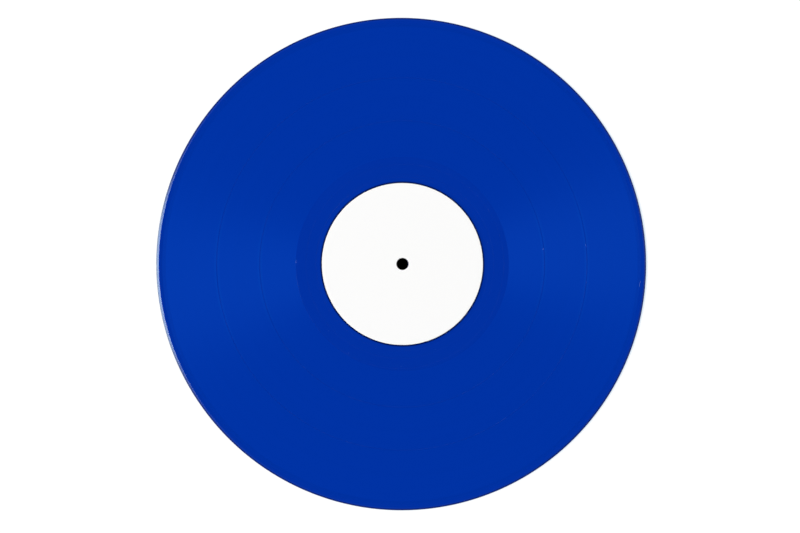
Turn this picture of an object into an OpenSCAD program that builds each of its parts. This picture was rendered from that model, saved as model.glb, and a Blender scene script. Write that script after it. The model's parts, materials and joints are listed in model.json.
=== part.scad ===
// A 12-inch long-playing record: one pressed disc of coloured vinyl and its two paper labels.
// The record lies flat, with the spindle hole on the Z axis and side A up. Z = 0 is the plane it rests on.

/* [Disc] */
// Outer diameter of the record
disc_d = 301.6; // [290:0.1:310]
// Thickness through the label area, which is what the record rests on
pad_t = 1.9; // [1.8:0.05:2.6]
// Thickness through the playing surface
play_t = 1.4; // [0.9:0.05:1.5]

/* [Rim] */
// Thickness at the crest of the raised rim
crest_t = 1.8; // [1.6:0.05:2.4]
// Thickness left at the outer edge
edge_t = 0.6; // [0.3:0.05:1.2]
// Width of the lip that falls from the crest to the edge
lip_w = 1.5; // [1:0.1:3]
// Share of the lip's fall that is even. The rest grows towards the edge.
lip_even = 0.8; // [0:0.05:1]
// Width of the rise from the playing surface up to the crest
rise_w = 2; // [0.6:0.1:2.4]

/* [Spindle hole] */
// Diameter of the hole through the disc and both labels
hole_d = 7.24; // [7:0.01:8]

/* [Labels] */
// Diameter of a paper label
label_d = 99.1; // [90:0.1:101]
// Thickness of the label paper
label_t = 0.12; // [0.08:0.01:0.2]
// Gap all round between a label's edge and the wall of its seat
label_gap = 0.3; // [0.05:0.01:0.4]
// Width of the flat ring of vinyl round a label
ring_w = 0.4; // [0.2:0.1:0.8]
// Width of the slope that falls from that ring to the run-out area
slope_w = 1.9; // [0.4:0.1:2]

/* [Playing bands] */
// Width of the silent lead-in area inside the raised rim
lead_in_w = 2; // [1.6:0.1:4]
// Inner radius of the last playing band
last_r = 65.6; // [62:0.1:70]
// How far the cut bands lie below the silent surface, about the mean depth of their fine groove
band_depth = 0.03; // [0.02:0.005:0.05]
// Width of the silent gap between two bands
gap_w = 0.6; // [0.5:0.1:2]
// Radius of the outer gap on side A
gap_a_outer_r = 114; // [105:0.1:125]
// Radius of the inner gap on side A
gap_a_inner_r = 87.7; // [80:0.1:98]
// Radius of the outer gap on side B
gap_b_outer_r = 119.5; // [105:0.1:125]
// Radius of the inner gap on side B
gap_b_inner_r = 93.2; // [80:0.1:98]

/* [Silent grooves] */
// Width of a silent groove at the surface
groove_w = 0.12; // [0.08:0.01:0.2]
// Depth of a silent groove
groove_depth = 0.05; // [0.03:0.01:0.1]
// Diameter of the closed lock groove
lock_d = 106.4; // [105.6:0.1:108]
// Turns of the lead-in groove
lead_in_turns = 2; // [1:1:2]
// Turns of the run-out groove
run_out_turns = 2; // [1:1:4]

/* [Hidden] */
$fn = 180;

VINYL = [0, 0.2, 0.65];
PAPER = [0.97, 0.97, 0.96];
// Straight steps in each curve of the rim
CURVE_STEPS = 8;
// Turns of the groove that crosses a gap
GAP_TURNS = 1;

disc_r = disc_d / 2;
hole_r = hole_d / 2;
label_r = label_d / 2;
lock_r = lock_d / 2;
mid_z = pad_t / 2;

// Heights above the middle plane of the disc
pad_h = pad_t / 2;
seat_h = pad_h - label_t;
play_h = play_t / 2;
band_h = play_h - band_depth;
crest_h = crest_t / 2;
edge_h = edge_t / 2;

// Radii of one side, from the hole outwards
seat_r = label_r + label_gap;
ring_r = seat_r + ring_w;
slope_r = ring_r + slope_w;
crest_r = disc_r - lip_w;
rise_r = crest_r - rise_w;
first_r = rise_r - lead_in_w;

function half_cosine(t) = (1 - cos(180 * t)) / 2;

// The rise to the crest: a half wave of a cosine, level at both ends
function rise_points() = [
    for (i = [0 : CURVE_STEPS])
        let (t = i / CURVE_STEPS)
        [rise_r + rise_w * t, play_h + (crest_h - play_h) * half_cosine(t)]
];

// The lip outside the crest: a fall that is partly even and partly a parabola, steepest at the edge
function lip_points() = [
    for (i = [1 : CURVE_STEPS])
        let (t = i / CURVE_STEPS, fall = lip_even * t + (1 - lip_even) * t * t)
        [crest_r + lip_w * t, crest_h - (crest_h - edge_h) * fall]
];

// The lock groove: a closed V in the run-out area
function lock_points() = [
    [lock_r - groove_w / 2, play_h],
    [lock_r, play_h - groove_depth],
    [lock_r + groove_w / 2, play_h],
];

// One playing band, a shallow step down between two radii
function band_points(inner_r, outer_r) = [
    [inner_r, play_h], [inner_r, band_h], [outer_r, band_h], [outer_r, play_h],
];

// One side of the disc from the hole to the edge, with two gaps between three bands
function side_points(inner_gap_r, outer_gap_r) = concat(
    [[hole_r, seat_h], [seat_r, seat_h], [seat_r, pad_h], [ring_r, pad_h], [slope_r, play_h]],
    lock_points(),
    band_points(last_r, inner_gap_r - gap_w / 2),
    band_points(inner_gap_r + gap_w / 2, outer_gap_r - gap_w / 2),
    band_points(outer_gap_r + gap_w / 2, first_r),
    rise_points(),
    lip_points()
);

function flipped(points) = [for (i = [len(points) - 1 : -1 : 0]) [points[i].x, -points[i].y]];

// The pressed disc before its spiral grooves, about its middle plane
module pressed_blank() {
    rotate_extrude()
        polygon(concat(
            side_points(gap_a_inner_r, gap_a_outer_r),
            flipped(side_points(gap_b_inner_r, gap_b_outer_r))
        ));
}

// Half a turn of V groove at a radius, where Y is positive. The V runs on above the surface to cut clean.
module half_turn(r) {
    rotate_extrude(angle = 180)
        translate([r, play_h])
            polygon([[0, -groove_depth], [groove_w, groove_depth], [-groove_w, groove_depth]]);
}

// A spiral groove of whole half turns, from inner_r at +X outwards, clockwise as its side is seen.
// Each half turn is a true arc, and their centres stand a quarter pitch either side of the hole.
module spiral_groove(inner_r, outer_r, half_turns) {
    step = (outer_r - inner_r) / half_turns;
    for (i = [0 : half_turns - 1])
        let (centre = i % 2 == 0 ? -step / 2 : step / 2)
        translate([centre, 0, 0])
            rotate([0, 0, i % 2 == 0 ? 180 : 0])
                half_turn(inner_r + step / 2 + i * step);
}

// The silent spirals of one side: run-out into the lock groove, one crossing of each gap, and lead-in
module silent_grooves(inner_gap_r, outer_gap_r) {
    rotate([0, 0, 180])
        spiral_groove(lock_r, last_r, 2 * run_out_turns);
    for (gap_r = [inner_gap_r, outer_gap_r])
        spiral_groove(gap_r - gap_w / 2, gap_r + gap_w / 2, 2 * GAP_TURNS);
    spiral_groove(first_r, rise_r - groove_w, 2 * lead_in_turns);
}

module vinyl_disc() {
    color(VINYL)
        translate([0, 0, mid_z])
            difference() {
                pressed_blank();
                silent_grooves(gap_a_inner_r, gap_a_outer_r);
                rotate([180, 0, 0])
                    silent_grooves(gap_b_inner_r, gap_b_outer_r);
            }
}

// A paper label with its punched hole, lying on z = 0
module paper_label() {
    color(PAPER)
        rotate_extrude()
            translate([hole_r, 0])
                square([label_r - hole_r, label_t]);
}

module label_side_a() {
    translate([0, 0, pad_t - label_t])
        paper_label();
}

module label_side_b() {
    paper_label();
}

vinyl_disc();
label_side_a();
label_side_b();
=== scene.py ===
"""A 12-inch long-playing record of solid blue vinyl with two blank paper labels, lying on a pale floor.

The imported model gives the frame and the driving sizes. The pressed disc and its labels are made here as fine
meshes of the same sizes, and each wears the finish of the real thing. Lengths are in metres.
"""

import json
import logging
import math
from collections.abc import Callable
from dataclasses import dataclass
from enum import Enum, IntEnum

import bpy
import numpy as np
from mathutils import Matrix, Vector


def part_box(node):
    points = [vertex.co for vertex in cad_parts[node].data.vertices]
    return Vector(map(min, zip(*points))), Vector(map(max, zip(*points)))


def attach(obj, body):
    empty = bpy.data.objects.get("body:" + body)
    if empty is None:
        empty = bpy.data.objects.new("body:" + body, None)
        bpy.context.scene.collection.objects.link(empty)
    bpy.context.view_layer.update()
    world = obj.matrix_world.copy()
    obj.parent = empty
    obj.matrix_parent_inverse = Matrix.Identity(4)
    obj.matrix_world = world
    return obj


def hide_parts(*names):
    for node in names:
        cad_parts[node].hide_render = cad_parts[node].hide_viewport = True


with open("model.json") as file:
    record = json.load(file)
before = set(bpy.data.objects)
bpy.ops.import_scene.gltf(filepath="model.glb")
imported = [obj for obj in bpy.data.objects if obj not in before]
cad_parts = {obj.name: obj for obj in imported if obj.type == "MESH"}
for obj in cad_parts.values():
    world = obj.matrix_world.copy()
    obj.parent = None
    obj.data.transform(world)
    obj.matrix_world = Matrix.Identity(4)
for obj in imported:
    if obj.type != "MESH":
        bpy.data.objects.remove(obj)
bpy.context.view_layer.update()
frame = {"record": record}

LOG = logging.getLogger("record")
BODY = "root"
MM = 0.001
MICRON = 0.000001
# Points nearer to each other than this are one point
WELD = 1.0 * MICRON
# Two faces that meet at more than this angle meet in a crease
CREASE = math.radians(24)
# Columns of faces round the disc and round a label
DISC_COLUMNS = 300
LABEL_COLUMNS = 240
UV_MAP = "OFBake"
# The middle of the values of a noise
NOISE_MEAN = 0.5
# Added to the size of a speck, so that nothing is divided by 0
SPECK_LEAST = 0.000001
# The share of a speck's radius over which it fades in
SPECK_FADE = 0.5

Colour = tuple[float, float, float]
# The waves of a noise to the metre, and how many finer layers it has
Grain = tuple[float, float]


def linear(colour: Colour) -> Colour:
    """Turns a colour from display values to linear light: an even foot, and above it a power of 2.4."""
    return tuple(c / 12.92 if c <= 0.04045 else ((c + 0.055) / 1.055) ** 2.4 for c in colour)


def half_cosine(t: np.ndarray) -> np.ndarray:
    """Half a wave of a cosine, from 0 at t = 0 to 1 at t = 1, level at both ends and beyond them."""
    return (1 - np.cos(math.pi * np.clip(t, 0, 1))) / 2


class Side(Enum):
    """The two sides of the record. The value is the sign of the side's outward Z."""

    A = 1
    B = -1


class Skin(IntEnum):
    """Which finish a face of the disc wears: its place among the disc's materials."""

    POLISHED = 0
    GROOVED = 1
    QUIET = 2
    LEAD_IN = 3


class Ground(IntEnum):
    """Which finish a face of the floor wears: its place among the floor's materials."""

    SHEET = 0
    WELL = 1


def operator(operation: str, reflected: bool = False) -> Callable[["Wire", "Wire | float"], "Wire"]:
    """Makes the method of an operator.

    Args:
        operation: The operation of its Math node.
        reflected: Whether the wire stands to the right of the operator.

    Returns:
        The method, which adds the node on the wire and another number.
    """

    def method(wire: "Wire", other: "Wire | float") -> "Wire":
        """Adds the Math node and returns its result."""
        return wire.graph.math(operation, *((other, wire) if reflected else (wire, other)))

    return method


class Wire:
    """A number that leaves a node. Python's operators on it add Math nodes."""

    __add__, __radd__ = operator("ADD"), operator("ADD", reflected=True)
    __sub__, __rsub__ = operator("SUBTRACT"), operator("SUBTRACT", reflected=True)
    __mul__, __rmul__ = operator("MULTIPLY"), operator("MULTIPLY", reflected=True)
    __pow__ = operator("POWER")
    # 1 where the comparison holds, and else 0
    __lt__, __gt__ = operator("LESS_THAN"), operator("GREATER_THAN")

    def __init__(self, graph: "ShaderGraph", socket: bpy.types.NodeSocket) -> None:
        """Keeps the graph and the socket that the number leaves by."""
        self.graph = graph
        self.socket = socket


class ShaderGraph:
    """The node tree of a material or of the world, emptied and built again."""

    def __init__(self, tree: bpy.types.NodeTree) -> None:
        """Empties the tree and keeps it."""
        tree.nodes.clear()
        self.tree = tree

    def node(self, kind: str, settings: dict | None = None, inputs: dict | None = None) -> bpy.types.Node:
        """Adds one node.

        Args:
            kind: The node's type, without its leading "ShaderNode".
            settings: Values of its own properties by name, set before its sockets.
            inputs: Values or links of its sockets, by name or by number.

        Returns:
            The new node.
        """
        made = self.tree.nodes.new("ShaderNode" + kind)
        for name, value in (settings or {}).items():
            setattr(made, name, value)
        for key, value in (inputs or {}).items():
            source = value.socket if isinstance(value, Wire) else value
            if isinstance(source, bpy.types.NodeSocket):
                self.tree.links.new(source, made.inputs[key])
            else:
                made.inputs[key].default_value = source
        return made

    def math(self, operation: str, *values: Wire | float, clamp: bool = False) -> Wire:
        """Adds a Math node on one or two numbers and returns its result."""
        made = self.node("Math", {"operation": operation, "use_clamp": clamp}, dict(enumerate(values)))
        return Wire(self, made.outputs[0])

    def ramp(self, value: Wire, low: float, high: float) -> Wire:
        """A smooth step of a number.

        Args:
            value: The number.
            low: Where the step starts. It may lie above high, and the step then falls.
            high: Where the step ends.

        Returns:
            0 before low, 1 after high and a smooth rise between them.
        """
        if low > high:
            return 1 - self.ramp(value, high, low)
        settings = {"interpolation_type": "SMOOTHSTEP"}
        inputs = {"Value": value, "From Min": low, "From Max": high}
        return Wire(self, self.node("MapRange", settings, inputs).outputs["Result"])

    def mix(self, factor: Wire, first: object, second: object) -> bpy.types.NodeSocket:
        """Mixes two colours, each a value or a socket, and returns the socket of the result."""
        # The sockets for colours come after those for numbers and vectors, which have the same names
        inputs = {0: factor, 6: first, 7: second}
        return self.node("Mix", {"data_type": "RGBA"}, inputs).outputs[2]

    def scaled(self, colour: Colour, factor: Wire) -> bpy.types.NodeSocket:
        """A colour times a number that varies, as a socket."""
        return self.node("VectorMath", {"operation": "SCALE"}, {0: colour, "Scale": factor}).outputs[0]

    def noise(self, scale: float, detail: float, radius: Wire | None = None) -> Wire:
        """Smooth noise from 0 to 1.

        Args:
            scale: Waves to the metre.
            detail: How many finer layers it has.
            radius: The distance from the axis, for noise that is the same all round it. Without it the
                noise varies in every direction.

        Returns:
            The noise as a number.
        """
        settings = {"noise_dimensions": "3D" if radius is None else "1D"}
        where = {"Vector": self.place()} if radius is None else {"W": radius}
        inputs = {"Scale": scale, "Detail": detail, **where}
        return Wire(self, self.node("TexNoise", settings, inputs).outputs[0])

    def place(self) -> bpy.types.NodeSocket:
        """The point of the object that is shaded, in its own coordinates."""
        return self.node("TexCoord").outputs["Object"]

    def ray(self, kind: str) -> Wire:
        """1 to a ray of this kind, such as Camera, and 0 to others."""
        return Wire(self, self.node("LightPath").outputs[f"Is {kind} Ray"])

    def radius(self) -> Wire:
        """The distance from the Z axis of the point that is shaded: the length of its place without its Z.

        Returns:
            The distance in metres.
        """
        flat = self.node("VectorMath", {"operation": "MULTIPLY"}, {0: self.place(), 1: (1, 1, 0)})
        length = self.node("VectorMath", {"operation": "LENGTH"}, {0: flat.outputs[0]})
        return Wire(self, length.outputs["Value"])

    def specks(self, spacing: float, size: float, share: float) -> Wire:
        """Small round specks strewn over the surface, at the middles of some cells of an uneven net.

        The depth inside a speck is 1 less the distance from its middle over its own radius, which is a random
        share of the largest. A speck is full where that depth passes the fade.

        Args:
            spacing: The mean distance between two places for a speck.
            size: The largest radius of a speck.
            share: The share of the places that hold a speck.

        Returns:
            1 inside a speck and 0 outside, with a soft edge.
        """
        settings = {"voronoi_dimensions": "2D"}
        cells = self.node("TexVoronoi", settings, {"Vector": self.place(), "Scale": 1 / spacing})
        luck = self.node("SeparateColor", inputs={0: cells.outputs["Color"]})
        own_size = Wire(self, luck.outputs[0]) * (size / spacing) + SPECK_LEAST
        distance = Wire(self, cells.outputs["Distance"])
        depth = self.math("SUBTRACT", 1, distance * own_size**-1, clamp=True)
        return self.ramp(depth, 0, SPECK_FADE) * (Wire(self, luck.outputs[1]) < share)

    def bump(self, height: Wire) -> bpy.types.NodeSocket:
        """Turns a height in metres into a normal and returns its socket."""
        return self.node("Bump", inputs={"Height": height, "Distance": 1.0}).outputs[0]

    def surface(self, kind: str, inputs: dict) -> None:
        """Ends the tree with a shader of this kind, such as BsdfPrincipled."""
        shader = self.node(kind, inputs=inputs).outputs[0]
        self.node("OutputMaterial", inputs={"Surface": shader})


def new_material(name: str, shown: Colour) -> tuple[bpy.types.Material, ShaderGraph]:
    """Makes a material with an empty node tree.

    Args:
        name: The material's name.
        shown: Its colour in a plain viewport, in linear light.

    Returns:
        The material and the graph of its nodes.
    """
    material = bpy.data.materials.new(name)
    material.use_nodes = True
    material.diffuse_color = (*shown, 1.0)
    return material, ShaderGraph(material.node_tree)


@dataclass(frozen=True)
class Dust:
    """Fine dust on the vinyl: specks that make its colour a little paler and its gloss duller."""

    colour: Colour = linear((0.20, 0.34, 0.70))
    cover: float = 0.25
    spacing: float = 11 * MM
    size: float = 0.34 * MM
    share: float = 0.4

    def over(self, graph: ShaderGraph, clean: bpy.types.NodeSocket) -> tuple[Wire, bpy.types.NodeSocket]:
        """Strews the dust over a colour.

        Args:
            graph: The graph of the material that it lies on.
            clean: The colour without dust.

        Returns:
            1 inside a speck and 0 outside, and the colour with the dust on it.
        """
        specks = graph.specks(self.spacing, self.size, self.share)
        return specks, graph.mix(specks * self.cover, clean, (*self.colour, 1))


@dataclass(frozen=True)
class PolishedVinyl:
    """Pressed vinyl with nothing cut in it: run-out, raised ring, label seats and rim.

    The crest of the rim and the label's edge are where they are on the disc that wears the finish. The painted
    shade of the seam starts just under the label. Outside the label it is whole as far as seam_full and gone
    at seam_end. The painted shade of the edge starts edge_start outside the crest and is whole at edge_full.
    """

    crest_r: float
    label_r: float
    colour: Colour = linear((0.0, 0.194, 0.643))
    gloss_tint: Colour = (0.72, 0.94, 1.0)
    ior: float = 1.53
    roughness: float = 0.10
    rim_roughness: float = 0.24
    rim_blend: float = 0.1 * MM
    flow: Grain = (38, 3)
    flow_tone: float = 0.05
    flow_depth: float = 14 * MICRON
    rub: Grain = (420, 4)
    rub_roughness: float = 0.4
    # Painted shade in a ring round the label, which darkens its colour
    seam_under: float = 0.1 * MM
    seam_full: float = 0.32 * MM
    seam_end: float = 1.6 * MM
    seam_shade: float = 0.80
    # Painted shade along the outer edge of the lip, which darkens its colour
    edge_start: float = 0.5 * MM
    edge_full: float = 0.8 * MM
    edge_shade: float = 0.50
    dust: Dust = Dust()
    dust_roughness: float = 0.4

    def material(self) -> bpy.types.Material:
        """Builds the material.

        It is a glossy, even blue with faint flow marks, sleeve rub and a little dust. The rim is duller from
        handling. Painted shade darkens the colour in a ring round the label and along the outer edge. A noise
        multiplies by 1 plus its strength times its distance from its middle, and a painted shade by 1 less its
        own.

        Returns:
            The material.
        """
        material, graph = new_material("vinyl_polished", self.colour)
        radius = graph.radius()
        flow = graph.noise(*self.flow)
        rub = graph.noise(*self.rub)
        rim = graph.ramp(radius, self.crest_r - self.rim_blend, self.crest_r)
        # Painted shade: the outer edge and the seam round the label, multiplied into the colour
        edge = graph.ramp(radius, self.crest_r + self.edge_start, self.crest_r + self.edge_full)
        seam = graph.ramp(radius, self.label_r + self.seam_end, self.label_r + self.seam_full)
        seam = seam * (radius > self.label_r - self.seam_under)
        shade = (1 - seam * self.seam_shade) * (1 - edge * self.edge_shade)
        clean = graph.scaled(self.colour, (1 + (flow - NOISE_MEAN) * self.flow_tone) * shade)
        specks, dusty = self.dust.over(graph, clean)
        flat = self.roughness * (1 + (rub - NOISE_MEAN) * self.rub_roughness)
        roughness = flat * (1 - rim) + rim * self.rim_roughness
        graph.surface("BsdfPrincipled", {
            "Base Color": dusty,
            "Roughness": roughness + specks * self.dust_roughness,
            "IOR": self.ior,
            "Specular Tint": (*self.gloss_tint, 1),
            "Normal": graph.bump(flow * self.flow_depth),
        })
        return material


@dataclass(frozen=True)
class GroovedVinyl:
    """Vinyl with a fine groove, which spreads light across its turns and makes wedges of sheen."""

    name: str
    roughness: float
    passage_roughness: float = 0.0
    turn_depth: float = 0.0
    sheen_tint: Colour = (0.0, 0.14, 0.80)
    sheen_level: float = 0.63
    # A little paler than the polished vinyl's colour: painted sheen of the grooved surface
    colour: Colour = linear((0.0, 0.197, 0.647))
    anisotropy: float = 1.0
    sheen_turn: float = 0.25
    ior: float = 1.53
    passages: Grain = (260, 3)
    passage_tone: float = 0.03
    turns: Grain = (1500, 2)
    turn_share: float = 0.5
    dust: Dust = Dust()
    dust_roughness: float = 0.2

    def material(self) -> bpy.types.Material:
        """Builds the material.

        The groove's walls tilt only towards and away from the axis, so the gloss is wide across the turns and
        narrow along them: the anisotropy, turned a quarter from the surface's own direction round the axis.
        Quiet and loud passages are rings of slightly different gloss. Their noise adds to the roughness, and
        the noise of single turns adds a share as much.

        Returns:
            The material.
        """
        material, graph = new_material(self.name, self.colour)
        radius = graph.radius()
        passages = graph.noise(*self.passages, radius) - NOISE_MEAN
        turns = graph.noise(*self.turns, radius) - NOISE_MEAN
        specks, dusty = self.dust.over(graph, graph.scaled(self.colour, 1 + passages * self.passage_tone))
        roughness = self.roughness + (passages + turns * self.turn_share) * self.passage_roughness
        graph.surface("BsdfPrincipled", {
            "Base Color": dusty,
            "Roughness": roughness + specks * self.dust_roughness,
            "IOR": self.ior,
            "Specular IOR Level": self.sheen_level,
            "Specular Tint": (*self.sheen_tint, 1),
            "Anisotropic": self.anisotropy,
            "Anisotropic Rotation": self.sheen_turn,
            "Normal": graph.bump(turns * self.turn_depth),
        })
        return material


@dataclass(frozen=True)
class LabelPaper:
    """Uncoated white paper, pressed flat into the vinyl by the stampers."""

    hole_r: float
    colour: Colour = (0.955, 0.955, 0.951)
    fibre_colour: Colour = (0.90, 0.90, 0.89)
    # Near-black round the hole: partly spindle wear, partly painted shade of the hole's wall
    wear_and_shade_colour: Colour = (0.06, 0.06, 0.07)
    roughness: float = 0.88
    gloss_level: float = 0.25
    clouds: Grain = (160, 4)
    cloud_tone: float = 0.06
    cloud_depth: float = 20 * MICRON
    fibres: Grain = (1300, 5)
    fibre_range: tuple[float, float] = (0.62, 0.80)
    fibre_tone: float = 0.30
    fibre_roughness: float = 0.12
    fibre_depth: float = 24 * MICRON
    wear_and_shade_w: float = 0.70 * MM
    wear_and_shade_uneven: float = 0.50 * MM

    def material(self) -> bpy.types.Material:
        """Builds the material: white with faint clouds and fibres, matt, with the tooth of paper.

        A spindle has worn and greyed the punched edge of the hole, and painted shade darkens it further as if
        the hole's wall were in shadow. The darkening falls off smoothly to nothing at its set width from the
        hole, and the clouds pull it back by up to its set unevenness.

        Returns:
            The material.
        """
        material, graph = new_material("label_paper_white", self.colour)
        clouds = graph.noise(*self.clouds)
        fibres = graph.noise(*self.fibres)
        tone = graph.ramp(fibres, *self.fibre_range) * self.fibre_tone + clouds * self.cloud_tone
        white = graph.mix(tone, (*self.colour, 1), (*self.fibre_colour, 1))
        # Darkening round the hole: partly spindle wear, partly painted shade of the hole's wall
        wear_and_shade = graph.ramp(graph.radius() + clouds * self.wear_and_shade_uneven, self.hole_r + self.wear_and_shade_w, self.hole_r)
        graph.surface("BsdfPrincipled", {
            "Base Color": graph.mix(wear_and_shade, white, (*self.wear_and_shade_colour, 1)),
            "Roughness": self.roughness + (fibres - NOISE_MEAN) * self.fibre_roughness,
            "Specular IOR Level": self.gloss_level,
            "Normal": graph.bump(fibres * self.fibre_depth + clouds * self.cloud_depth),
        })
        return material


@dataclass
class Patch:
    """A grid of points round the axis, row by row outwards along a profile.

    Each array has a row for each line round the axis and one column more than there are faces, because the
    last column closes the turn. The path is the way along the profile, which the patch's map needs. Angles
    run clockwise, as the patch is seen from outside.
    """

    radius: np.ndarray
    height: np.ndarray
    path: np.ndarray
    first_column: int
    side: Side
    skin: int

    @classmethod
    def lathe(cls, profile: np.ndarray, columns: int, side: Side = Side.A, skin: int = 0) -> "Patch":
        """A patch of one profile carried round the axis.

        Args:
            profile: Radius and height of each point of the profile.
            columns: Faces round the axis.
            side: The side that the patch faces.
            skin: The finish of its faces, as a place among the mesh's materials.

        Returns:
            The patch.
        """
        steps = np.linalg.norm(np.diff(profile, axis=0), axis=1)
        path = np.concatenate([[0], np.cumsum(steps)])
        grid = [np.repeat(column[:, None], columns + 1, axis=1) for column in (*profile.T, path)]
        return cls(*grid, 0, side, skin)

    def columns(self) -> int:
        """How many faces the patch has round the axis."""
        return self.radius.shape[1] - 1

    def points(self, mid_z: float) -> np.ndarray:
        """The patch's points in the row frame.

        x is the radius times the cosine of the angle, and y is minus the radius times its sine, so that the
        angle runs clockwise from above. Side B is side A turned half way round the X axis, which changes the
        signs of y and z.

        Args:
            mid_z: The height of the plane that heights are measured from.

        Returns:
            An array of rows times columns points.
        """
        turn = 2 * math.pi * (self.first_column + np.arange(self.columns() + 1)) / self.columns()
        sign = self.side.value
        x = self.radius * np.cos(turn)
        y = -sign * self.radius * np.sin(turn)
        return np.stack([x, y, mid_z + sign * self.height], axis=-1).reshape(-1, 3)

    def corners(self) -> np.ndarray:
        """Which points each face joins, in an order that makes it face outwards.

        Returns:
            The numbers of four of the patch's points for each face.
        """
        numbers = np.arange(self.radius.size).reshape(self.radius.shape)
        ring = [numbers[:-1, :-1], numbers[:-1, 1:], numbers[1:, 1:], numbers[1:, :-1]]
        return np.stack(ring, axis=-1).reshape(-1, 4)

    def map_places(self, start: float, scale: float) -> np.ndarray:
        """Where each corner of each face lies on a map that unrolls the disc into strips.

        Across the map is the share of a turn, and up it is the way along the profile.

        Args:
            start: The map's height at which the way along the profile is 0.
            scale: Map height to a metre of that way. It is below 0 for a strip that runs down.

        Returns:
            An array of faces times corners times two.
        """
        rows, columns = self.radius.shape[0] - 1, self.columns()
        left = ((self.first_column + np.arange(columns)) % columns) / columns
        across = np.broadcast_to(np.stack([left, left + 1 / columns]), (rows, 2, columns))
        up = (start + scale * self.path).ravel()[self.corners()].reshape(rows, columns, 4)
        u = np.stack([across[:, 0], across[:, 1], across[:, 1], across[:, 0]], axis=-1)
        return np.stack([u, up], axis=-1).reshape(-1, 4, 2)


def joined_mesh(
    name: str, patches: list[Patch], mid_z: float, places: np.ndarray | None = None
) -> bpy.types.Mesh:
    """Joins patches into one mesh.

    Points closer than WELD become one. A face whose corners fell together loses those corners, and one with
    fewer than three left is dropped. Edges sharper than CREASE are creases.

    Args:
        name: The mesh's name.
        patches: The patches.
        mid_z: The height of the plane that their heights are measured from.
        places: Where each corner of each face lies on the map, if the mesh gets one.

    Returns:
        The mesh.
    """
    points = np.concatenate([patch.points(mid_z) for patch in patches])
    before = np.cumsum([0, *(patch.radius.size for patch in patches)])
    corners = np.concatenate([patch.corners() + number for patch, number in zip(patches, before)])
    skins = np.concatenate([np.full(len(patch.corners()), patch.skin) for patch in patches])
    keys = np.round(points / WELD).astype(np.int64)
    _, kept, number = np.unique(keys, axis=0, return_index=True, return_inverse=True)
    faces = number.ravel()[corners]
    distinct = faces != np.roll(faces, -1, axis=1)
    whole = distinct.sum(axis=1) >= 3
    faces, distinct, skins = faces[whole], distinct[whole], skins[whole]
    sizes = distinct.sum(axis=1)

    mesh = bpy.data.meshes.new(name)
    mesh.vertices.add(len(kept))
    mesh.vertices.foreach_set("co", points[kept].astype(np.float32).ravel())
    mesh.loops.add(int(sizes.sum()))
    mesh.loops.foreach_set("vertex_index", faces[distinct].astype(np.int32))
    mesh.polygons.add(len(faces))
    mesh.polygons.foreach_set("loop_start", (np.cumsum(sizes) - sizes).astype(np.int32))
    mesh.polygons.foreach_set("material_index", skins.astype(np.int32))
    mesh.polygons.foreach_set("use_smooth", np.ones(len(faces), bool))
    if places is not None:
        layer = mesh.uv_layers.new(name=UV_MAP)
        layer.uv.foreach_set("vector", places[whole][distinct].astype(np.float32).ravel())
    mesh.update(calc_edges=True)
    mesh.set_sharp_from_angle(angle=CREASE)
    mesh.validate()
    return mesh


@dataclass(frozen=True)
class Spiral:
    """A silent V groove that spirals outwards between two radii, in half turns that are all but true arcs."""

    inner_r: float
    outer_r: float
    turns: int
    start: float = 0.0

    def pitch(self) -> float:
        """How far the groove moves outwards in a turn."""
        return (self.outer_r - self.inner_r) / self.turns

    def crossings(self, share: np.ndarray) -> np.ndarray:
        """The radii at which the groove crosses a line out from the axis.

        In the first half of a turn it moves out by a quarter of the pitch times 1 less the cosine of the
        angle. In the second half it moves out by as much again, by the same rule.

        Args:
            share: The share of a turn clockwise from the groove's start, from 0 to 1.

        Returns:
            One row for each turn, and one for the turn before and after them, which lie out of bounds.
        """
        angle = 2 * math.pi * share
        first = (1 - np.cos(angle)) / 4
        second = 0.5 + (1 + np.cos(angle)) / 4
        drift = np.where(share <= 0.5, first, second)
        return self.inner_r + self.pitch() * (np.arange(-1, self.turns + 1)[:, None] + drift)

    def rows(self, columns: int, half_width: float) -> np.ndarray:
        """Radii of rows of points that follow the groove.

        Between two crossings there are three rows: the edge of each groove and the middle of the land. Where
        a crossing is out of bounds the bound takes its place, so the rows draw together on it.

        Args:
            columns: Faces round the axis.
            half_width: Half the groove's width at the surface.

        Returns:
            An array of rows times one more than columns.
        """
        share = np.arange(columns + 1) / columns
        inner_to_outer = np.clip(self.crossings(share), self.inner_r, self.outer_r)
        low, high = inner_to_outer[:-1], inner_to_outer[1:]
        middle = (low + high) / 2
        inside = np.minimum(low + half_width, middle)
        outside = np.maximum(high - half_width, middle)
        lands = np.stack([low, inside, middle, outside], axis=1).reshape(-1, columns + 1)
        return np.concatenate([lands, high[-1:]])


@dataclass(frozen=True)
class RecordSizes:
    """The driving sizes of the record, read from the frame."""

    disc_r: float
    hole_r: float
    label_r: float
    label_t: float
    pad_t: float

    @classmethod
    def read(cls) -> "RecordSizes":
        """Reads the sizes from the high corners of the nodes' boxes and from the spindle hole's mount.

        Returns:
            The sizes.
        """
        disc, label_a, label_b = (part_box(node)[1] for node in ("vinyl_disc", "label_side_a", "label_side_b"))
        hole = next(mount for mount in frame["record"]["mounts"] if mount["name"] == "spindle_hole")
        return cls(
            disc_r=disc.x,
            hole_r=hole["dims"]["r_mm"] * MM,
            label_r=label_a.x,
            label_t=label_b.z,
            pad_t=label_a.z,
        )


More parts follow.
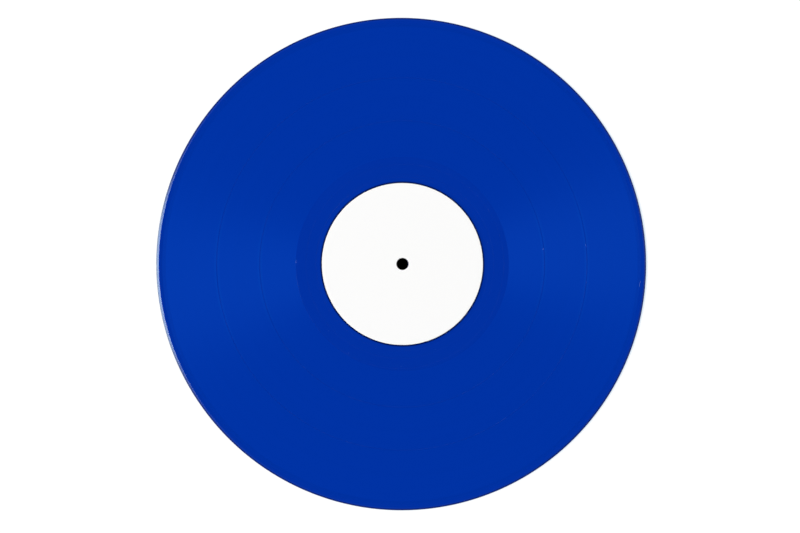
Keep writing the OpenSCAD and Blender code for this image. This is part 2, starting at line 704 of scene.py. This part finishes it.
@dataclass(frozen=True)
class VinylDisc:
    """The pressed disc: rim, playing bands, gaps, silent grooves, raised ring and label seats."""

    sizes: RecordSizes
    # Thicknesses through the playing surface, the rim's crest and the edge
    play_t: float = 1.4 * MM
    crest_t: float = 1.8 * MM
    edge_t: float = 0.6 * MM
    # The rim: its lip, the share of the lip's fall that is even, and the share of the edge that is upright
    lip_w: float = 1.5 * MM
    lip_even: float = 0.8
    edge_round: float = 0.12 * MM
    edge_upright: float = 0.5
    rise_w: float = 2.0 * MM
    # The seat of a label, the ring round it and the slope outside the ring
    label_gap: float = 0.3 * MM
    corner_round: float = 0.04 * MM
    ring_w: float = 0.4 * MM
    slope_w: float = 1.9 * MM
    # The playing bands, their quiet first and last turns, and the gaps between them
    lead_in_w: float = 2.0 * MM
    last_r: float = 65.6 * MM
    band_depth: float = 0.03 * MM
    band_ramp: float = 0.06 * MM
    quiet_w: float = 1.1 * MM
    gap_w: float = 0.6 * MM
    gaps_a: tuple[float, float] = (87.7 * MM, 114.0 * MM)
    gaps_b: tuple[float, float] = (93.2 * MM, 119.5 * MM)
    # The silent grooves
    groove_w: float = 0.12 * MM
    groove_depth: float = 0.05 * MM
    lock_r: float = 53.2 * MM
    run_out_turns: int = 2
    gap_turns: int = 1
    lead_in_turns: int = 2
    # The mean distance of rows in a band, and how many rows the rest has
    band_row: float = 1.7 * MM
    curve_rows: int = 12
    edge_rows: int = 6
    corner_rows: int = 4
    flat_rows: int = 4
    # The map: how high a side's strip and a thin strip are, and how much the seats are squeezed
    side_strip: float = 0.465
    thin_strip: float = 0.015
    seat_on_map: float = 0.08

    def seat_r(self) -> float:
        """Radius of the wall round a label."""
        return self.sizes.label_r + self.label_gap

    def ring_r(self) -> float:
        """Outer radius of the flat ring round a label."""
        return self.seat_r() + self.ring_w

    def crest_r(self) -> float:
        """Radius of the crest of the raised rim."""
        return self.sizes.disc_r - self.lip_w

    def rise_r(self) -> float:
        """Radius at which the surface starts to rise to the crest."""
        return self.crest_r() - self.rise_w

    def first_r(self) -> float:
        """Radius of the first turn of the playing groove."""
        return self.rise_r() - self.lead_in_w

    def gaps(self, side: Side) -> tuple[float, float]:
        """The radii of a side's two gaps, the inner one first."""
        return self.gaps_a if side is Side.A else self.gaps_b

    def bands(self, side: Side) -> list[tuple[float, float]]:
        """Where the playing bands of a side lie.

        Args:
            side: The side.

        Returns:
            The inner and outer radius of each band, from the inside out.
        """
        half = self.gap_w / 2
        gap_edges = [r for gap in self.gaps(side) for r in (gap - half, gap + half)]
        edges = [self.last_r, *gap_edges, self.first_r()]
        return list(zip(edges[::2], edges[1::2]))

    def spirals(self, side: Side) -> list[Spiral]:
        """The silent spirals of a side.

        Args:
            side: The side.

        Returns:
            From the inside out: the run-out, the crossing of each gap, and the lead-in.
        """
        half = self.gap_w / 2
        run_out = Spiral(self.lock_r, self.last_r, self.run_out_turns, start=0.5)
        crossings = [Spiral(gap - half, gap + half, self.gap_turns) for gap in self.gaps(side)]
        lead_in = Spiral(self.first_r(), self.rise_r() - self.groove_w, self.lead_in_turns)
        return [run_out, *crossings, lead_in]

    def blank_height(self, side: Side, radius: np.ndarray) -> np.ndarray:
        """The surface's height above the middle plane before the silent grooves are cut, outside the ring.

        A straight slope falls from the ring, half a cosine leads down into each band and up out of it, and
        another rises to the rim's crest. The lip outside the crest falls partly evenly and partly with the
        square of the way across it.

        Args:
            side: The side.
            radius: Distances from the axis.

        Returns:
            The heights.
        """
        play_h, crest_h = self.play_t / 2, self.crest_t / 2
        down_slope = np.clip((radius - self.ring_r()) / self.slope_w, 0, 1)
        height = play_h + (self.sizes.pad_t / 2 - play_h) * (1 - down_slope)
        for inner, outer in self.bands(side):
            inside = np.minimum(radius - inner, outer - radius) / self.band_ramp
            height -= self.band_depth * half_cosine(inside)
        height += (crest_h - play_h) * half_cosine((radius - self.rise_r()) / self.rise_w)
        t = np.clip((radius - self.crest_r()) / self.lip_w, 0, 1)
        fall = self.lip_even * t + (1 - self.lip_even) * t**2
        return height - (crest_h - self.edge_t / 2) * fall

    def cut_height(self, side: Side, radius: np.ndarray, share: np.ndarray) -> np.ndarray:
        """The surface's height once the lock groove and the silent spirals are cut.

        A groove's walls rise evenly. Their height above its bottom is its depth times the distance from the
        bottom over half its width. The lowest of the blank and all grooves stays.

        Args:
            side: The side.
            radius: Distances from the axis, rows times columns.
            share: The share of a turn clockwise from +X of each column.

        Returns:
            The heights.
        """
        height = self.blank_height(side, radius)
        bottoms = [np.full((1, len(share)), self.lock_r)]
        for spiral in self.spirals(side):
            from_start = share - spiral.start
            from_start = np.where(from_start < -WELD, from_start + 1, from_start)
            found = spiral.crossings(from_start)
            inside = (found > spiral.inner_r - WELD) & (found < spiral.outer_r + WELD)
            bottoms.append(np.where(inside, found, np.inf))
        for bottom in np.concatenate(bottoms):
            wall = np.abs(radius - bottom) / (self.groove_w / 2)
            cut = self.play_t / 2 - self.groove_depth * (1 - wall)
            height = np.where(wall < 1, np.minimum(height, cut), height)
        return height

    def zone(self, side: Side, rows: np.ndarray, path: float, skin: Skin, start: float = 0.0) -> Patch:
        """One zone of a side's surface outside the ring.

        Args:
            side: The side.
            rows: The radii of its rows of points, one for each row, or rows times columns.
            path: The way along the profile at its first row.
            skin: The finish of its faces.
            start: The share of a turn at which its columns start.

        Returns:
            The zone as a patch.
        """
        radius = rows if rows.ndim == 2 else np.repeat(rows[:, None], DISC_COLUMNS + 1, axis=1)
        share = start + np.arange(DISC_COLUMNS + 1) / DISC_COLUMNS
        share = np.where(share > 1 + WELD, share - 1, share)
        height = self.cut_height(side, radius, share)
        return Patch(radius, height, path + radius - radius[0, 0], round(start * DISC_COLUMNS), side, skin)

    def seat_profile(self) -> np.ndarray:
        """The label's seat, the wall round it with rounded corners, and the flat ring outside.

        Each corner is a quarter of a circle.

        Returns:
            Radius and height of each point.
        """
        seat_h, pad_h = self.sizes.pad_t / 2 - self.sizes.label_t, self.sizes.pad_t / 2
        wall, r = self.seat_r(), self.corner_round
        turn = np.linspace(0, math.pi / 2, self.corner_rows)
        foot = np.stack([wall - r + r * np.sin(turn), seat_h + r - r * np.cos(turn)], axis=1)
        brow = np.stack([wall + r - r * np.cos(turn), pad_h - r + r * np.sin(turn)], axis=1)
        flat = np.linspace(self.sizes.hole_r, wall - 2 * r, self.flat_rows)
        seat = np.stack([flat, np.full(self.flat_rows, seat_h)], axis=1)
        return np.concatenate([seat, foot, brow, [[self.ring_r(), pad_h]]])

    def side_patches(self, side: Side) -> list[Patch]:
        """Every patch of one side, from the hole to where the edge's rounding starts.

        Args:
            side: The side.

        Returns:
            The patches, each starting on the row where the one before it ends.
        """
        patches = [Patch.lathe(self.seat_profile(), DISC_COLUMNS, side, Skin.POLISHED)]

        def add(rows: np.ndarray, skin: Skin = Skin.POLISHED, start: float = 0.0) -> None:
            """Adds a zone that starts where the last patch ends."""
            patches.append(self.zone(side, rows, patches[-1].path[-1, 0], skin, start))

        half = self.groove_w / 2
        foot_r = self.ring_r() + self.slope_w
        slope = np.linspace(self.ring_r(), foot_r, self.curve_rows)
        add(np.concatenate([slope, [self.lock_r - half, self.lock_r]]))
        run_out, *crossings, lead_in = self.spirals(side)
        add(run_out.rows(DISC_COLUMNS, half), start=run_out.start)
        after = [(spiral, Skin.POLISHED) for spiral in crossings] + [(lead_in, Skin.LEAD_IN)]
        for (spiral, skin), band in zip(after, self.bands(side)):
            first, middle, final = self.band_rows(*band)
            add(first, Skin.GROOVED if band[0] == self.last_r else Skin.QUIET)
            add(middle, Skin.GROOVED)
            add(final, Skin.GROOVED if spiral is lead_in else Skin.QUIET)
            add(spiral.rows(DISC_COLUMNS, half), skin, spiral.start)
        last = lead_in.outer_r
        rise = np.linspace(self.rise_r(), self.crest_r(), self.curve_rows)
        lip = np.linspace(self.crest_r(), self.sizes.disc_r - self.edge_round, self.curve_rows)
        add(np.concatenate([[last, last + half], rise, lip[1:]]))
        return patches

    def band_rows(self, inner: float, outer: float) -> tuple[np.ndarray, np.ndarray, np.ndarray]:
        """Radii of a band's rows, in three zones.

        The first and the last zone are a ramp down into the band and its quiet turns. Between them lie the
        turns that hold sound, in even steps.

        Args:
            inner: The band's inner radius.
            outer: Its outer radius.

        Returns:
            The rows of the three zones, from the inside out.
        """
        ramp = self.band_ramp
        edge = np.array([0, ramp / 2, ramp, ramp + self.groove_w / 2, self.quiet_w])
        rows = max(2, round((outer - inner) / self.band_row))
        middle = np.linspace(inner + self.quiet_w, outer - self.quiet_w, rows)
        return inner + edge, middle, outer - edge[::-1]

    def edge_profile(self) -> np.ndarray:
        """The edge from side A to side B: a rounded corner, a short upright wall and a rounded corner.

        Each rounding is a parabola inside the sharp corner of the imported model. It leaves the lip with the
        lip's slope and comes upright at the top of the wall. A point at the share t of it is the lip's end
        times the square of 1 less t, plus the corner times twice t times 1 less t, plus the wall's top times
        the square of t.

        Returns:
            Radius and height of each point.
        """
        radii = self.sizes.disc_r - np.array([self.edge_round, 0])
        lip_end, corner = np.stack([radii, self.blank_height(Side.A, radii)], axis=1)
        wall_top = corner * (1, self.edge_upright)
        t = np.linspace(0, 1, self.edge_rows)[:, None]
        upper = (1 - t) ** 2 * lip_end + 2 * t * (1 - t) * corner + t**2 * wall_top
        return np.concatenate([upper, upper[::-1] * (1, -1)])

    def hole_profile(self) -> np.ndarray:
        """The wall of the spindle hole, from side B up to side A."""
        seat_h = self.sizes.pad_t / 2 - self.sizes.label_t
        return np.array([[self.sizes.hole_r, h] for h in np.linspace(-seat_h, seat_h, self.flat_rows)])

    def strips(self) -> list[tuple[Patch, float, float]]:
        """Makes every patch of the disc and gives it its strip of the map.

        The map is four strips, one above the other: side B from the edge inwards, the edge, the hole and
        side A. The seats lie under the labels, so they take little of it.

        Returns:
            Each patch, the map's height where its path is 0, and map height to a metre of path.
        """
        side_a, side_b = (self.side_patches(side) for side in Side)
        seat_end = side_a[0].path[-2, 0]
        for patch in side_a + side_b:
            squeezed = np.minimum(patch.path, seat_end) * self.seat_on_map
            patch.path = squeezed + np.maximum(patch.path - seat_end, 0)
        scale = self.side_strip / side_a[-1].path[-1, 0]
        laid = [(patch, 1 - self.side_strip, scale) for patch in side_a]
        laid += [(patch, self.side_strip, -scale) for patch in side_b]
        start = self.side_strip + self.thin_strip
        for profile in (self.edge_profile(), self.hole_profile()):
            patch = Patch.lathe(profile, DISC_COLUMNS, skin=Skin.POLISHED)
            laid.append((patch, start, self.thin_strip / patch.path[-1, 0]))
            start += 2 * self.thin_strip
        return laid

    def build(self) -> bpy.types.Mesh:
        """Builds the closed mesh of the disc, with its map.

        Returns:
            The mesh.
        """
        laid = self.strips()
        places = np.concatenate([patch.map_places(start, scale) for patch, start, scale in laid])
        return joined_mesh("pressed_disc", [patch for patch, _, _ in laid], self.sizes.pad_t / 2, places)

    def dress(self, mesh: bpy.types.Mesh) -> None:
        """Gives the disc its finishes and its place in the frame.

        Args:
            mesh: The disc's mesh.
        """
        darker = linear((0.0, 0.194, 0.636))
        finishes = {
            Skin.POLISHED: PolishedVinyl(self.crest_r(), self.sizes.label_r),
            Skin.GROOVED: GroovedVinyl("vinyl_grooved", 0.59, passage_roughness=0.08, turn_depth=7 * MICRON),
            Skin.QUIET: GroovedVinyl("vinyl_quiet", 0.53, sheen_tint=(0.0, 0.21, 1.0)),
            Skin.LEAD_IN: GroovedVinyl("vinyl_lead_in", 0.59, sheen_tint=(0.0, 0.10, 0.60), colour=darker),
        }
        for skin in Skin:
            mesh.materials.append(finishes[skin].material())
        place_piece("pressed_disc", mesh, "vinyl_disc")


@dataclass(frozen=True)
class PaperLabel:
    """One paper label: a thin ring with a punched hole, its outer edge rounded by the press.

    Each of the waves in its face is three numbers: how many crests it has round the axis, and in radians how
    far it turns across the paper and where it starts.
    """

    name: str
    node: str
    side: Side
    sizes: RecordSizes
    edge_round: float = 0.045 * MM
    dip: float = 0.006 * MM
    waves: tuple[tuple[int, int, int], ...] = ((2, 5, 0), (3, -8, 1), (0, 12, 0))
    rows: int = 26
    corner_rows: int = 5

    def build(self) -> bpy.types.Mesh:
        """Builds the label's closed mesh.

        The profile runs from the hole over the outer face, round the edge and back under. The outer face is
        uneven by a few thousandths of a millimetre. It dips by the mean of the waves' sines, moved from
        between -1 and 1 to between 0 and the greatest dip.

        Returns:
            The mesh.
        """
        inner, outer = self.sizes.hole_r, self.sizes.label_r
        thick, r = self.sizes.label_t, self.edge_round
        turn = np.linspace(0, math.pi / 2, self.corner_rows)
        face = np.linspace(inner + r, outer - r, self.rows)
        punched = np.stack([inner + r - r * np.cos(turn), thick - r + r * np.sin(turn)], axis=1)
        pressed = np.stack([outer - r + r * np.sin(turn), thick - r + r * np.cos(turn)], axis=1)
        top = np.stack([face[1:-1], np.full(self.rows - 2, thick)], axis=1)
        under = np.array([[outer, 0], [(inner + outer) / 2, 0], [inner, 0], [inner, thick - r]])
        patch = Patch.lathe(np.concatenate([punched, top, pressed, under]), LABEL_COLUMNS, self.side)
        angle = 2 * math.pi * np.arange(LABEL_COLUMNS + 1) / LABEL_COLUMNS
        across = (patch.radius - inner) / (outer - inner)
        sines = [np.sin(crests * angle + turns * across + start) for crests, turns, start in self.waves]
        dips = self.dip * (1 + np.mean(sines, axis=0)) / 2
        mid_z = self.sizes.pad_t / 2
        patch.height = mid_z - thick + patch.height - np.where(patch.height > thick / 2, dips, 0)
        return joined_mesh(self.name, [patch], mid_z)

    def dress(self, mesh: bpy.types.Mesh, paper: bpy.types.Material) -> None:
        """Gives the label its paper and its place in the frame."""
        mesh.materials.append(paper)
        place_piece(self.name, mesh, self.node)


def linked(name: str, data: bpy.types.ID) -> bpy.types.Object:
    """Makes an object of a mesh, a light or a camera and links it into the scene.

    Args:
        name: The object's name.
        data: What it shows.

    Returns:
        The object.
    """
    made = bpy.data.objects.new(name, data)
    bpy.context.scene.collection.objects.link(made)
    return made


def place_piece(name: str, mesh: bpy.types.Mesh, node: str) -> None:
    """Puts a piece into the scene in place of a node of the frame, and reports it.

    Args:
        name: The piece's name.
        mesh: Its mesh, in the row frame.
        node: The node that it stands for.
    """
    piece = linked(name, mesh)
    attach(piece, BODY)
    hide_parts(node)
    LOG.info("%s: %d faces", name, len(mesh.polygons))


@dataclass(frozen=True)
class Softbox:
    """A large flat lamp that faces the record. The camera doesn't see it, but glossy surfaces do."""

    name: str
    azimuth: float
    elevation: float
    width: float
    height: float
    radiance: float
    distance: float = 9.0

    def hang(self) -> None:
        """Hangs the lamp. Its power is its radiance times pi times its area."""
        azimuth, elevation = math.radians(self.azimuth), math.radians(self.elevation)
        flat = math.cos(elevation)
        away = Vector((flat * math.cos(azimuth), flat * math.sin(azimuth), math.sin(elevation)))
        light = bpy.data.lights.new(self.name, "AREA")
        light.shape = "RECTANGLE"
        light.size, light.size_y = self.width, self.height
        light.energy = self.radiance * math.pi * self.width * self.height
        lamp = linked(self.name, light)
        turn = away.to_track_quat("Z", "Y").to_matrix().to_4x4()
        lamp.matrix_world = Matrix.Translation(away * self.distance) @ turn
        lamp.visible_camera = False


@dataclass(frozen=True)
class Studio:
    """The pale floor, the lamps, the world and the camera."""

    sizes: RecordSizes
    lamps: tuple[Softbox, ...] = (
        Softbox("key_left", 183, 48, 4.5, 4.3, 11.9),
        Softbox("fill_right", 7, 21, 4.4, 2.2, 6.6),
    )
    # The world's strength to what is matt, and to what shines: sines of heights, and the strengths at them
    ambient: float = 0.31
    dark_above: float = 0.62
    palest_at: float = 0.30
    duller_below: float = 0.05
    palest: float = 0.75
    duller: float = 0.30
    # The floor: its colours, and how far out it starts to grow paler, is palest and ends
    floor_colour: Colour = (0.45, 0.33, 0.22)
    floor_lift: Colour = (0.61, 0.73, 0.84)
    near_floor_r: float = 0.8
    far_floor_r: float = 4.0
    floor_r: float = 14.0
    floor_rings: tuple[float, ...] = (0.2, 2.0)
    floor_columns: int = 96
    floor_drop: float = 0.05 * MM
    # The well under the spindle hole
    well_colour: Colour = (0.01, 0.01, 0.012)
    well_depth: float = 40 * MM
    well_margin: float = 1.0 * MM
    # The camera: its lens and sensor in millimetres, its angles in degrees and where it aims
    lens: float = 250.0
    sensor: float = 36.0
    clip: tuple[float, float] = (0.1, 60.0)
    camera_distance: float = 3.401
    camera_tilt: float = 5.9
    camera_lean: float = 184.4
    aim: tuple[float, float] = (-1.55 * MM, -1.55 * MM)

    def lay_floor(self) -> None:
        """Lays the floor, a wide round sheet with a deep dark well, so that the spindle hole is dark."""
        well, bottom = self.sizes.hole_r + self.well_margin, -self.well_depth
        sheet = [[r, -self.floor_drop] for r in (well, *self.floor_rings, self.floor_r)]
        lining = [[0, bottom], [well, bottom], sheet[0]]
        patches = [
            Patch.lathe(np.array(lining), self.floor_columns, skin=Ground.WELL),
            Patch.lathe(np.array(sheet), self.floor_columns, skin=Ground.SHEET),
        ]
        mesh = joined_mesh("floor", patches, 0.0)
        mesh.materials.append(self.floor_material())
        mesh.materials.append(self.well_material())
        linked("floor", mesh)

    def floor_material(self) -> bpy.types.Material:
        """Builds the matt pale floor.

        The camera and what shines see it lifted to white, with the record's shadow. The lift is cool and the
        matt colour warm, so the shadow is faintly blue, as if some light came through the vinyl. Far from the
        record it is lifted all the way, so that it meets the white world without a line.

        Returns:
            The material.
        """
        material, graph = new_material("floor_pale", self.floor_colour)
        seen = graph.ray("Camera") + graph.ray("Glossy") + graph.ray("Transmission")
        matt = graph.node("BsdfDiffuse", inputs={"Color": (*self.floor_colour, 1)})
        far = graph.ramp(graph.radius(), self.near_floor_r, self.far_floor_r)
        cool = graph.mix(far, (*self.floor_lift, 1), (1, 1, 1, 1))
        lift = graph.node("Emission", inputs={"Color": cool, "Strength": seen})
        both = graph.node("AddShader", inputs={0: matt.outputs[0], 1: lift.outputs[0]})
        graph.node("OutputMaterial", inputs={"Surface": both.outputs[0]})
        return material

    def well_material(self) -> bpy.types.Material:
        """Builds the matt black that lines the well.

        Returns:
            The material.
        """
        material, graph = new_material("well_black", self.well_colour)
        graph.surface("BsdfDiffuse", {"Color": (*self.well_colour, 1)})
        return material

    def light_world(self) -> None:
        """Lights the world: white to the camera and dim to what is matt.

        To what shines it is dark overhead, palest some way above the horizon and duller at the horizon.
        Smooth steps of the sine of the height lead from one to the next.
        """
        world = bpy.data.worlds.new("studio")
        world.use_nodes = True
        bpy.context.scene.world = world
        graph = ShaderGraph(world.node_tree)
        seen = graph.ray("Camera") + graph.ray("Transmission")
        glossy = graph.ray("Glossy")
        direction = graph.node("TexCoord").outputs["Generated"]
        up = Wire(graph, graph.node("SeparateXYZ", inputs={0: direction}).outputs["Z"])
        rise = graph.ramp(up, self.dark_above, self.palest_at) * self.palest
        fall = graph.ramp(up, self.palest_at, self.duller_below) * (self.palest - self.duller)
        strength = seen + glossy * (rise - fall) + (1 - seen - glossy) * self.ambient
        back = graph.node("Background", inputs={"Color": (1, 1, 1, 1), "Strength": strength})
        graph.node("OutputWorld", inputs={"Surface": back.outputs[0]})

    def set_camera(self) -> None:
        """Sets the camera nearly overhead, leaning a little to the left, with +Y up in the picture."""
        lean, tilt = math.radians(self.camera_lean), math.radians(self.camera_tilt)
        back = Vector((math.sin(tilt) * math.cos(lean), math.sin(tilt) * math.sin(lean), math.cos(tilt)))
        right = Vector((0, 1, 0)).cross(back).normalized()
        turn = Matrix((right, back.cross(right), back)).transposed().to_4x4()
        target = Vector((*self.aim, self.sizes.pad_t))
        lens = bpy.data.cameras.new("camera")
        lens.lens, lens.sensor_width = self.lens, self.sensor
        lens.clip_start, lens.clip_end = self.clip
        camera = linked("camera", lens)
        camera.matrix_world = Matrix.Translation(target + back * self.camera_distance) @ turn
        bpy.context.scene.camera = camera

    def build(self) -> None:
        """Sets up the whole studio and plain colour handling."""
        self.set_camera()
        self.lay_floor()
        self.light_world()
        for lamp in self.lamps:
            lamp.hang()
        bpy.context.scene.view_settings.view_transform = "Standard"


def main() -> None:
    """Builds the studio, the disc and the labels in order. Each piece is reported as it is placed."""
    logging.basicConfig(level=logging.INFO, format="%(message)s")
    sizes = RecordSizes.read()
    Studio(sizes).build()
    disc = VinylDisc(sizes)
    disc.dress(disc.build())
    paper = LabelPaper(sizes.hole_r).material()
    for label in (
        PaperLabel("paper_label_a", "label_side_a", Side.A, sizes),
        PaperLabel("paper_label_b", "label_side_b", Side.B, sizes),
    ):
        label.dress(label.build(), paper)


if __name__ == "__main__":
    main()
